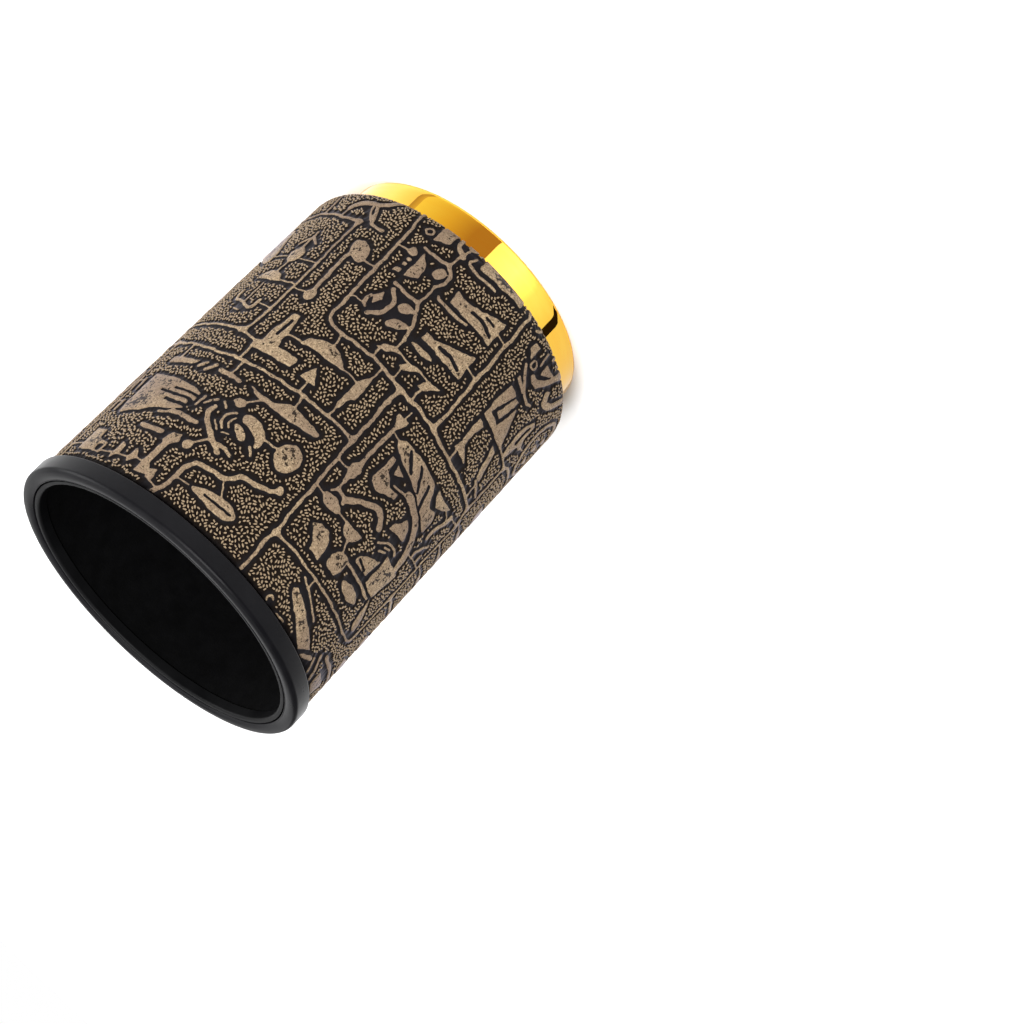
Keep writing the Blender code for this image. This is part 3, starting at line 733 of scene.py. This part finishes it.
def make_inner_cup():
    """The moulded cup behind the leather, with its lip, floor and spigot."""
    inset = LEATHER_THICKNESS + GAP
    underside = LEATHER_FOOT_Z + inset
    floor = underside + 2.2

    def outer(z):
        return cup_radius(z) - inset

    lip_low, lip_top, lip_outer = RIM_HIGH - 3.0, CUP_HIGH, MOUTH_RADIUS + LIP_WIDTH
    corner = LEATHER_BASE_RADIUS - SHOULDER_RADIUS
    spigot = FOOT_RADIUS - FOOT_WALL - GAP
    section = [(0, floor), (outer(floor) - CUP_WALL - 0.5, floor), (outer(floor) - CUP_WALL, floor + 0.5)]
    section += [(outer(lip_low) - CUP_WALL, lip_low), (MOUTH_RADIUS, lip_low)]
    section += rounding(MOUTH_RADIUS + 0.6, lip_top - 0.6, 0.6, 180, 90, 8)
    section += [(lip_outer - 0.05, lip_top), (lip_outer, lip_top - 0.1)]
    section += [(lip_outer, LEATHER_TOP_Z), (outer(LEATHER_TOP_Z), LEATHER_TOP_Z)]
    section += rounding(corner, SHOULDER_Z, SHOULDER_RADIUS - inset, 0, -90, 10)
    section += [(spigot, underside), (spigot, CUP_LOW), (spigot - 1.8, CUP_LOW), (spigot - 1.8, underside),
                (0, underside)]
    return turned("moulded_cup", section)


def make_foot():
    """The gold foot: a ring with a floor across it, a rounded lower edge and a recess under it for the pad."""
    edge = 0.5
    recess = FOOT_RADIUS - 3.0
    floor_top, floor_under = 3.1, 1.6
    section = [(0, floor_top), (FOOT_RADIUS - FOOT_WALL, floor_top), (FOOT_RADIUS - FOOT_WALL, FOOT_TOP)]
    section += rounding(FOOT_RADIUS - 0.15, FOOT_TOP - 0.15, 0.15, 90, 0, 3)
    section += [(FOOT_RADIUS, FOOT_TOP - 2), (FOOT_RADIUS, 2)]
    section += rounding(FOOT_RADIUS - edge, edge, edge, 0, -90, 8)
    section += rounding(recess + edge, edge, edge, -90, -180, 8)
    section += [(recess, floor_under), (0, floor_under)]
    return turned("gold_foot", section)


def make_wall_felt():
    """The felt sleeve, whose nap stands unevenly."""
    thick = 0.6
    nap = ripple(128, 512, 0.5, 2.0)

    def outer(z):
        return cup_radius(z) - LEATHER_THICKNESS - GAP - CUP_WALL - GAP

    def uneven(angle, radius, z):
        lift = 0.05 * nap[int(z) % 128, int(angle / math.tau * 512) % 512] if radius < outer(z) - thick / 2 else 0
        return radius + lift, z

    steps = 96
    rise = [FELT_LOW + (FELT_HIGH - FELT_LOW) * i / steps for i in range(steps + 1)]
    section = [(outer(z) - thick, z) for z in rise] + [(outer(z), z) for z in reversed(rise)]
    return turned("wall_lining", section, steps=256, uneven=uneven)


def make_floor_felt():
    """The felt disc on the cup's floor, with an uneven nap."""
    nap = ripple(256, 256, 0.4, 2.0)

    def uneven(angle, radius, z):
        if z < FLOOR_FELT_HIGH - 0.1:
            return radius, z
        column = int((radius * math.cos(angle) + 40) * 2.5) % 256
        row = int((radius * math.sin(angle) + 40) * 2.5) % 256
        return radius, z - 0.06 + 0.03 * nap[row, column]

    section = [(0, FLOOR_FELT_HIGH - 0.05)] + [(FLOOR_FELT_RADIUS * i / 34, FLOOR_FELT_HIGH) for i in range(1, 34)]
    section += [(FLOOR_FELT_RADIUS - 0.2, FLOOR_FELT_HIGH), (FLOOR_FELT_RADIUS, FLOOR_FELT_HIGH - 0.25)]
    section += [(FLOOR_FELT_RADIUS, FLOOR_FELT_LOW), (0, FLOOR_FELT_LOW)]
    return turned("floor_lining", section, steps=192, uneven=uneven)


def make_foot_pad():
    """The pad under the foot, with a soft edge and fine concentric moulding rings."""
    section = [(0, PAD_HIGH), (PAD_RADIUS, PAD_HIGH), (PAD_RADIUS, PAD_LOW + 0.25)]
    section += rounding(PAD_RADIUS - 0.25, PAD_LOW + 0.25, 0.25, 0, -90, 4)
    for ring in range(28):
        at = PAD_RADIUS - 1.0 - ring
        section += [(at, PAD_LOW), (at - 0.3, PAD_LOW + 0.12), (at - 0.7, PAD_LOW + 0.12), (at - 0.95, PAD_LOW)]
    section += [(0, PAD_LOW)]
    return turned("pad", section)


# ---- Materials ----


class Graph:
    """A short way to write a material's nodes."""

    def __init__(self, name):
        self.material = bpy.data.materials.new(name)
        self.material.use_nodes = True
        self.tree = self.material.node_tree
        self.shader = self.tree.nodes["Principled BSDF"]
        self.place = self.node("ShaderNodeTexCoord").outputs["Object"]

    def node(self, kind, **settings):
        made = self.tree.nodes.new(kind)
        for key, value in settings.items():
            setattr(made, key, value)
        return made

    def put(self, socket, value):
        if isinstance(value, bpy.types.NodeSocket):
            self.tree.links.new(value, socket)
        else:
            socket.default_value = value

    def noise(self, scale, detail=2.0, rough=0.5, stretch=None):
        made = self.node("ShaderNodeTexNoise")
        made.inputs["Scale"].default_value = scale
        made.inputs["Detail"].default_value = detail
        made.inputs["Roughness"].default_value = rough
        place = self.place
        if stretch:
            mapping = self.node("ShaderNodeMapping")
            mapping.inputs["Scale"].default_value = stretch
            self.put(mapping.inputs["Vector"], place)
            place = mapping.outputs[0]
        self.put(made.inputs["Vector"], place)
        return made.outputs["Fac"]

    def ramp(self, value, *stops):
        """A value through a ramp; each stop is (position, grey or colour)."""
        made = self.node("ShaderNodeValToRGB")
        elements = made.color_ramp.elements
        while len(elements) < len(stops):
            elements.new(0.5)
        for element, (position, colour) in zip(elements, stops):
            element.position = position
            element.color = (*colour, 1) if isinstance(colour, tuple) else (colour, colour, colour, 1)
        self.put(made.inputs[0], value)
        return made.outputs[0]

    def math(self, operation, first, second=0.0):
        made = self.node("ShaderNodeMath", operation=operation)
        self.put(made.inputs[0], first)
        self.put(made.inputs[1], second)
        return made.outputs[0]

    def mix(self, share, first, second):
        made = self.node("ShaderNodeMix", data_type="RGBA")
        self.put(made.inputs["Factor"], share)
        for socket, value in ((made.inputs[6], first), (made.inputs[7], second)):
            self.put(socket, (*value, 1) if isinstance(value, tuple) else value)
        return made.outputs[2]

    def attribute(self, name):
        return self.node("ShaderNodeAttribute", attribute_name=name).outputs["Fac"]

    def bump(self, height, strength, distance, before=None):
        made = self.node("ShaderNodeBump")
        made.inputs["Strength"].default_value = strength
        made.inputs["Distance"].default_value = distance
        self.put(made.inputs["Height"], height)
        if before:
            self.put(made.inputs["Normal"], before)
        return made.outputs[0]

    def set(self, **values):
        for key, value in values.items():
            name = key.replace("_", " ")
            value = (*value, 1) if isinstance(value, tuple) and len(value) == 3 else value
            self.put(self.shader.inputs[name], value)
        return self.material


def leather_material():
    """Near-black ground with a dark grain, and rubbed tan tops with worn pits, by the relief's height; painted shade
    darkens the ground between the grains.
    """
    g = Graph("embossed_leather")
    height, moat, middle = g.attribute("relief"), g.attribute("moat"), g.attribute("middle")
    top = g.ramp(height, (0.38, 0.0), (0.72, 1.0))
    fine = g.noise(2500, 2, 0.6)
    wear = g.noise(900, 3, 0.6)
    blotch = g.noise(230, 2, 0.5)
    broad = g.noise(30, 3, 0.55)
    tan = g.mix(g.ramp(fine, (0.36, 0.0), (0.62, 1.0)), (0.15, 0.102, 0.06), (0.375, 0.279, 0.172))
    tan = g.mix(g.ramp(wear, (0.4, 0.5), (0.6, 0.0)), tan, (0.17, 0.118, 0.073))
    tan = g.mix(g.ramp(broad, (0.45, 0.0), (0.6, 0.65)), tan, (0.15, 0.103, 0.073))
    grains = g.mix(fine, (0.165, 0.115, 0.07), (0.335, 0.25, 0.158))
    # Worn pits where the dark ground shows through the rubbed tops, most of them along the middle of a shape.
    worn = g.math("ADD", g.math("MULTIPLY", blotch, 0.27), g.math("MULTIPLY", middle, 0.1))
    pits = g.ramp(g.math("ADD", g.math("MULTIPLY", g.noise(1300, 2, 0.6), 0.5), worn), (0.49, 0.0), (0.51, 1.0))
    speckle = g.ramp(g.noise(3000, 2, 0.65), (0.56, 0.0), (0.64, 0.7))
    dark = g.math("MAXIMUM", pits, speckle)
    tan = g.mix(dark, tan, (0.02, 0.014, 0.010))
    tan = g.mix(moat, grains, tan)
    # Painted shade: the ground between the grains gets a darker, browner colour than the open moat, standing for the
    # shade in their narrow gaps.
    ground = g.mix(moat, (0.0058, 0.0032, 0.0016), (0.0062, 0.0052, 0.006))
    colour = g.mix(top, ground, tan)
    rough = g.mix(top, (0.62, 0.62, 0.62), g.ramp(fine, (0.3, 0.42), (0.7, 0.58)))
    grain = g.bump(g.noise(1300, 3, 0.65), 0.35, 0.00012)
    return g.set(Base_Color=colour, Roughness=rough, Normal=grain, Specular_IOR_Level=0.06,
                 Sheen_Weight=0.16, Sheen_Roughness=0.33, Sheen_Tint=(0.84, 0.78, 1.0))


def moulding_material(name, colour, roughness):
    """Satin black moulded plastic: faint moulding texture, handling marks and a little dust."""
    g = Graph(name)
    fine = g.noise(2600, 2, 0.5)
    smear = g.noise(60, 4, 0.65)
    lighter = tuple(c * 1.4 + 0.002 for c in colour)
    shade = g.mix(g.ramp(smear, (0.4, 0.0), (0.75, 1.0)), colour, lighter)
    rough = g.ramp(smear, (0.3, roughness - 0.05), (0.7, roughness + 0.07))
    return g.set(Base_Color=shade, Roughness=rough, Specular_IOR_Level=0.06, Normal=g.bump(fine, 0.12, 0.00005))


def felt_material(name):
    """Black felt of fine fibres in loose clumps."""
    g = Graph(name)
    fibre = g.noise(3200, 4, 0.7)
    clump = g.noise(240, 3, 0.6)
    shade = g.mix(fibre, (0.001, 0.001, 0.0011), (0.0042, 0.0042, 0.0045))
    shade = g.mix(g.ramp(clump, (0.35, 0.0), (0.7, 0.6)), shade, (0.0008, 0.0008, 0.0008))
    rough = g.ramp(clump, (0.3, 0.9), (0.7, 1.0))
    return g.set(Base_Color=shade, Roughness=rough, Specular_IOR_Level=0.04,
                 Normal=g.bump(fibre, 0.6, 0.0002, g.bump(clump, 0.3, 0.0004)))


def gold_material():
    """Mirror-bright plating with faint polishing marks."""
    g = Graph("gold_plating")
    polish = g.noise(90, 3, 0.6, stretch=(1, 1, 6))
    tint = g.mix(g.ramp(polish, (0.3, 0.0), (0.7, 1.0)), (1.0, 0.53, 0.06), (1.0, 0.57, 0.075))
    rough = g.ramp(g.noise(700, 4, 0.6), (0.3, 0.02), (0.75, 0.05))
    return g.set(Base_Color=tint, Roughness=rough, Metallic=1.0,
                 Normal=g.bump(g.noise(45, 2, 0.5, stretch=(1, 1, 3)), 0.04, 0.0004))


def pad_material():
    """A matt black rubber sheet."""
    g = Graph("foot_pad")
    fine = g.noise(1800, 3, 0.6)
    patches = g.ramp(g.noise(120, 3, 0.6), (0.35, 0.0), (0.7, 1.0))
    shade = g.mix(patches, (0.010, 0.010, 0.010), (0.022, 0.021, 0.020))
    return g.set(Base_Color=shade, Roughness=g.ramp(fine, (0.3, 0.7), (0.7, 0.85)), Normal=g.bump(fine, 0.4, 0.0001))


def finish_piece(piece, material, slot, *nodes):
    piece.data.materials.clear()
    piece.data.materials.append(material)
    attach(piece, "root")
    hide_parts(*nodes)
    return piece


def make_pieces():
    cup_black = moulding_material("cup_moulding", (0.003, 0.003, 0.0033), 0.42)
    rim_black = moulding_material("rim_moulding", (0.0036, 0.0035, 0.0043), 0.3)
    cup = finish_piece(make_inner_cup(), cup_black, "inner_cup", "inner_cup")
    finish_piece(make_rim(), rim_black, "mouth_rim", "mouth_rim")
    foot = finish_piece(make_foot(), gold_material(), "base_cap", "base_cap")
    leather = finish_piece(make_leather(), leather_material(), "leather_wrap", "leather_wrap")
    wall = finish_piece(make_wall_felt(), felt_material("wall_felt"), "wall_felt", "wall_felt")
    floor = finish_piece(make_floor_felt(), felt_material("floor_felt"), "floor_felt", "floor_felt")
    pad = finish_piece(make_foot_pad(), pad_material(), "foot_pad", "foot_pad")


# ---- The studio ----


def make_floor():
    """A sheet of white paper."""
    mesh = bpy.data.meshes.new("floor")
    size = 0.9
    corners = [(-size, -size, 0), (size, -size, 0), (size, size, 0), (-size, size, 0)]
    mesh.from_pydata(corners, [], [(0, 1, 2, 3)])
    floor = add_piece("floor", mesh)
    g = Graph("floor_paper")
    grain = g.noise(300, 3, 0.6)
    g.set(Base_Color=g.mix(grain, (0.86, 0.86, 0.86), (0.9, 0.9, 0.9)), Roughness=0.9,
          Normal=g.bump(grain, 0.05, 0.0002))
    mesh.materials.append(g.material)


def aim(thing, place, target, roll=0.0):
    """Put a camera or a light at a place, turned to a target and rolled by some degrees."""
    thing.location = place
    thing.rotation_mode = "QUATERNION"
    forward = (Vector(target) - Vector(place)).normalized()
    turn = forward.to_track_quat("-Z", "Y")
    thing.rotation_quaternion = turn @ Matrix.Rotation(math.radians(roll), 3, "Z").to_quaternion()


def make_camera():
    """The photo's view. The cup stands upright in the frame, so the camera is rolled until it lies as in the photo."""
    lens = bpy.data.cameras.new("camera")
    lens.lens = 98.441
    lens.sensor_width = 36
    camera = bpy.data.objects.new("camera", lens)
    bpy.context.scene.collection.objects.link(camera)
    aim(camera, (0, -0.590485, 0.305571), (-0.042882, -0.01136, 0.036391), roll=-137.33)
    bpy.context.scene.camera = camera


# Soft boxes: name, place, size and power in watts.
LIGHTS = [("key", (-0.04, -0.8, 1.0), (0.7, 0.7), 22), ("top", (0.4, 0.2, 1.6), (2.4, 2.4), 32),
          ("back", (0.2, 1.0, 0.35), (1.4, 0.5), 2), ("side", (0.8, 0.2, 0.45), (0.5, 0.5), 6)]
LIGHT_TARGET = (0, 0, 0.055)


def make_light(name, place, size, power):
    lamp = bpy.data.lights.new(name, "AREA")
    lamp.shape = "RECTANGLE"
    lamp.size, lamp.size_y = size
    lamp.energy = power
    light = bpy.data.objects.new(name, lamp)
    bpy.context.scene.collection.objects.link(light)
    aim(light, place, LIGHT_TARGET)


# What the gold mirrors: first and last angle in degrees from the front, and the light at each of the two.
GLOW = [(-76, -37.2, (0.85, 0.9, 1.1), (1.0, 1.06, 1.1)), (-37.2, -33, (0.02, 0.015, 0.01), (0.02, 0.015, 0.01)),
        (-33, -20, (1.0, 1.1, 1.1), (1.3, 1.5, 1.6)), (-20, -9, (1.3, 1.5, 1.6), (3, 3, 3.4)),
        (-9, 3.3, (3, 3, 3.4), (1.9, 1.9, 2.2)), (3.3, 13, (0.45, 0.29, 0.16), (0.46, 0.30, 0.16)),
        (13, 24, (0.46, 0.30, 0.16), (0.76, 0.66, 0.3)), (24, 39, (0.76, 0.66, 0.3), (1.0, 1.08, 0.65)),
        (39, 42.3, (0.75, 0.66, 0.42), (0.5, 0.42, 0.3)), (42.3, 54, (1.1, 1.15, 1.2), (1.4, 1.6, 2.0)),
        (54, 78, (1.4, 1.6, 2.0), (1.5, 1.6, 1.8))]
CARD_HEIGHT = 0.2
CARD_COLUMNS, CARD_ROWS = 9, 8


def make_cards():
    """Low light and dark cards round the foot, seen only in reflections, as the photographer's were."""
    eye = bpy.context.scene.camera.location / MM
    cards = bpy.data.meshes.new("cards")
    verts, faces, glow = [], [], []
    heights = np.linspace(CARD_HEIGHT + 0.3, FOOT_TOP, CARD_ROWS)
    for first, last, start, end in GLOW:
        angles = np.radians(np.linspace(first, last, CARD_COLUMNS))
        offset = len(verts)
        for angle, bright in zip(angles, np.linspace(start, end, CARD_COLUMNS)):
            for z in heights:
                # Where the camera's ray lands after the foot mirrors it at this angle and height. The stripes draw
                # together a little at the foot's lower edge.
                turn = angle * (1 - 0.035 * max(0, 2.3 - z) ** 2)
                out = Vector((math.sin(turn), -math.cos(turn)))
                spot = FOOT_RADIUS * out
                ray = Vector((spot.x - eye.x, spot.y - eye.y))
                fall = (z - CARD_HEIGHT) / (eye.z - z)
                landing = spot + (ray - 2 * ray.dot(out) * out) * fall
                verts.append((landing.x * MM, landing.y * MM, CARD_HEIGHT * MM))
                glow.append((*bright, 1))
        for i in range(CARD_COLUMNS - 1):
            for j in range(CARD_ROWS - 1):
                a = offset + i * CARD_ROWS + j
                faces.append((a, a + CARD_ROWS, a + CARD_ROWS + 1, a + 1))
    cards.from_pydata(verts, [], faces)
    cards.attributes.new("glow", "FLOAT_COLOR", "POINT").data.foreach_set("color", np.array(glow, np.float32).ravel())
    g = Graph("cards")
    light = g.node("ShaderNodeEmission")
    g.put(light.inputs["Color"], g.node("ShaderNodeAttribute", attribute_name="glow").outputs["Color"])
    g.put(g.tree.nodes["Material Output"].inputs["Surface"], light.outputs[0])
    cards.materials.append(g.material)
    piece = add_piece("cards", cards)
    piece.visible_camera = piece.visible_diffuse = piece.visible_shadow = False


def make_studio():
    make_floor()
    make_camera()
    make_cards()
    for light in LIGHTS:
        make_light(*light)
    world = bpy.data.worlds.new("studio")
    bpy.context.scene.world = world
    world.use_nodes = True
    tree = world.node_tree
    background = tree.nodes["Background"]
    background.inputs["Color"].default_value = (1, 1, 1, 1)
    # The room is dim, but what shows past the floor is as pale as the floor.
    seen = tree.nodes.new("ShaderNodeLightPath")
    strength = tree.nodes.new("ShaderNodeMapRange")
    strength.inputs["To Min"].default_value, strength.inputs["To Max"].default_value = 0.22, 1.0
    tree.links.new(seen.outputs["Is Camera Ray"], strength.inputs["Value"])
    tree.links.new(strength.outputs["Result"], background.inputs["Strength"])


make_studio()
bpy.context.scene.view_settings.view_transform = "Standard"
make_pieces()
